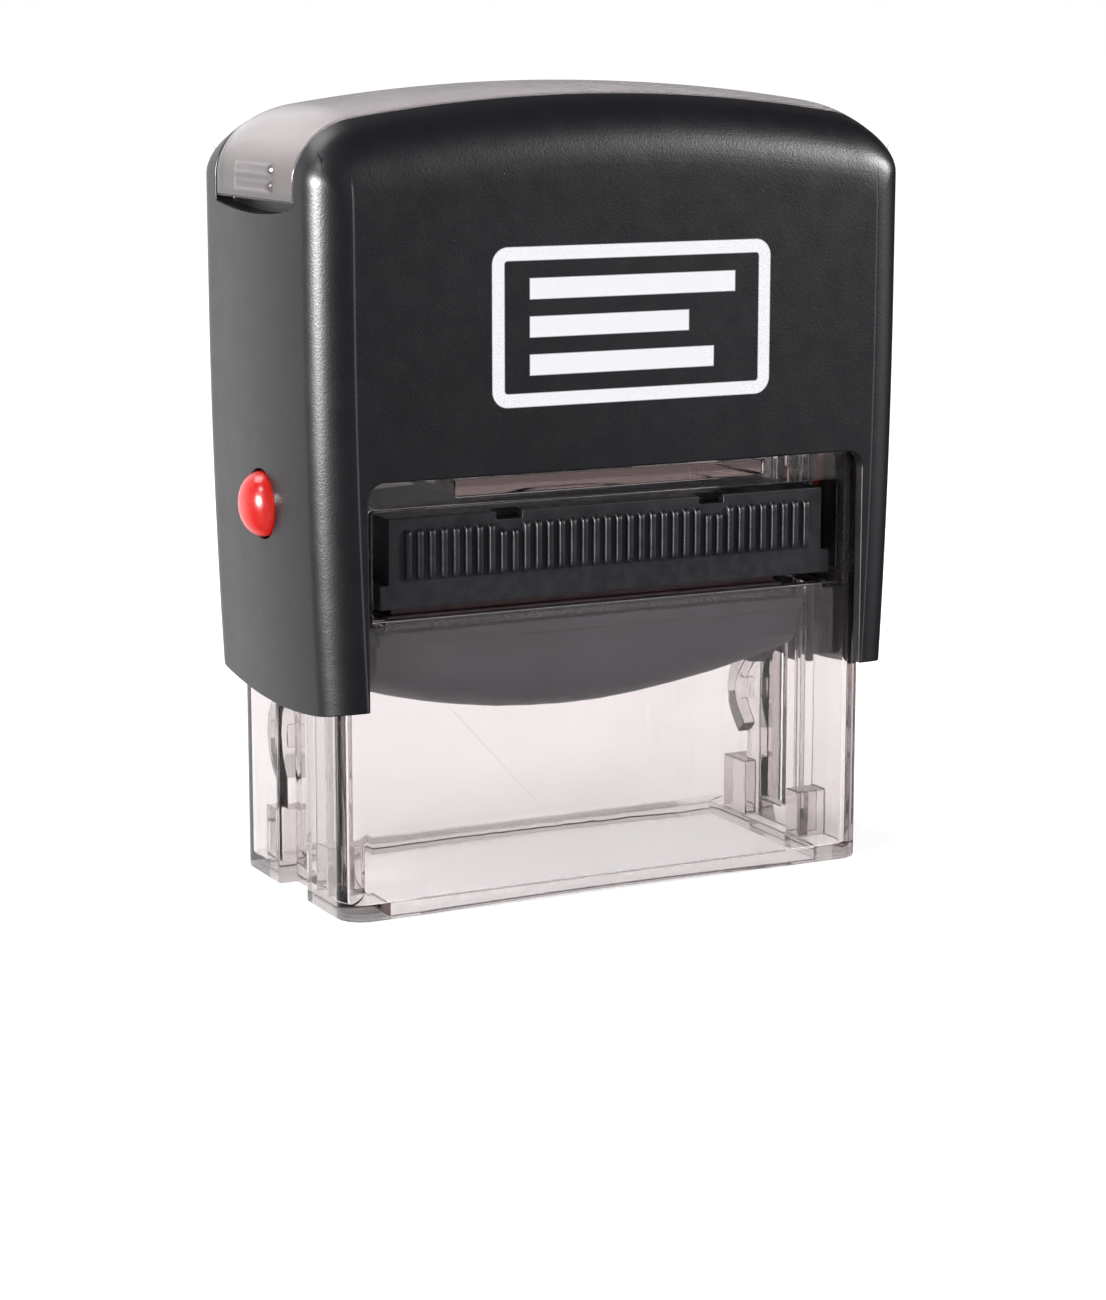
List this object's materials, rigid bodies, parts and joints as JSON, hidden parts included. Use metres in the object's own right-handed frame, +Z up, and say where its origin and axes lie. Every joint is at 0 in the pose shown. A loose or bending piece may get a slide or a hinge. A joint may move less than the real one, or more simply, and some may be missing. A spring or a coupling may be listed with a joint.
{
  "type": "self inking stamp",
  "caption": "Self-inking text stamp: pressing the black cap down its clear base frame flips the platen from the ink cartridge to the paper.",
  "frame": {"origin": "on the table, under the middle of the clear base frame, with the stamp standing upright at rest", "axes": "+Z up, against the press; +X along the text plate, to the right seen from the front; the front, with the ink cartridge's ribbed grip, faces -Y"},
  "size_m": [0.058, 0.0264, 0.0682],
  "materials": {
    "clear_smoke": "clear, slightly smoky moulding with polished faces",
    "cap_black": "black, fine satin spark-eroded grain",
    "inner_black": "black, plain moulded",
    "button_red": "bright red, polished dome",
    "window_clear": "clear, slightly smoky strip",
    "card_paper": "matt pale card",
    "spring_steel": "drawn spring wire",
    "ink_felt": "felt soaked with black ink",
    "foam_grey": "closed-cell foam",
    "die_rubber": "stamp rubber darkened by ink"
  },
  "bodies": {
    "frame": {"base_frame": "clear_smoke", "main_spring": "spring_steel"},
    "ink_cartridge": {"cartridge_tray": "inner_black", "ink_pad": "ink_felt"},
    "cap": {"cap_shell": "cap_black", "yoke": "inner_black", "index_card": "card_paper"},
    "window": {"index_window": "window_clear"},
    "button_left": {"lock_button_left": "button_red"},
    "button_right": {"lock_button_right": "button_red"},
    "platen": {"platen": "inner_black", "die_foam": "foam_grey", "text_die": "die_rubber"}
  },
  "joints": [
    {"name": "cap_press", "type": "slide", "parent": "frame", "child": "cap", "axis": [0, 0, -1], "range_m": [0, 0.0161], "stiffness_N_per_m": 900, "springref_m": -0.006, "deforming": ["main_spring"]},
    {"name": "platen_flip", "type": "hinge", "parent": "cap", "child": "platen", "pos_m": [0, 0, 0.0208], "axis": [1, 0, 0], "range_deg": [0, 180]},
    {"name": "cartridge_slide", "type": "slide", "parent": "frame", "child": "ink_cartridge", "axis": [0, 1, 0], "range_m": [-0.025, 0]},
    {"name": "window_lift", "type": "slide", "parent": "cap", "child": "window", "axis": [0, 0, 1], "range_m": [0, 0.014]},
    {"name": "lock_left_push", "type": "slide", "parent": "cap", "child": "button_left", "axis": [1, 0, 0], "range_m": [0, 0.001], "stiffness_N_per_m": 250, "springref_m": -0.001},
    {"name": "lock_right_push", "type": "slide", "parent": "cap", "child": "button_right", "axis": [-1, 0, 0], "range_m": [0, 0.001], "stiffness_N_per_m": 250, "springref_m": -0.001}
  ],
  "couplings": [
    {"joint": "platen_flip", "follows": "cap_press", "rad_per_m": 195.12}
  ]
}
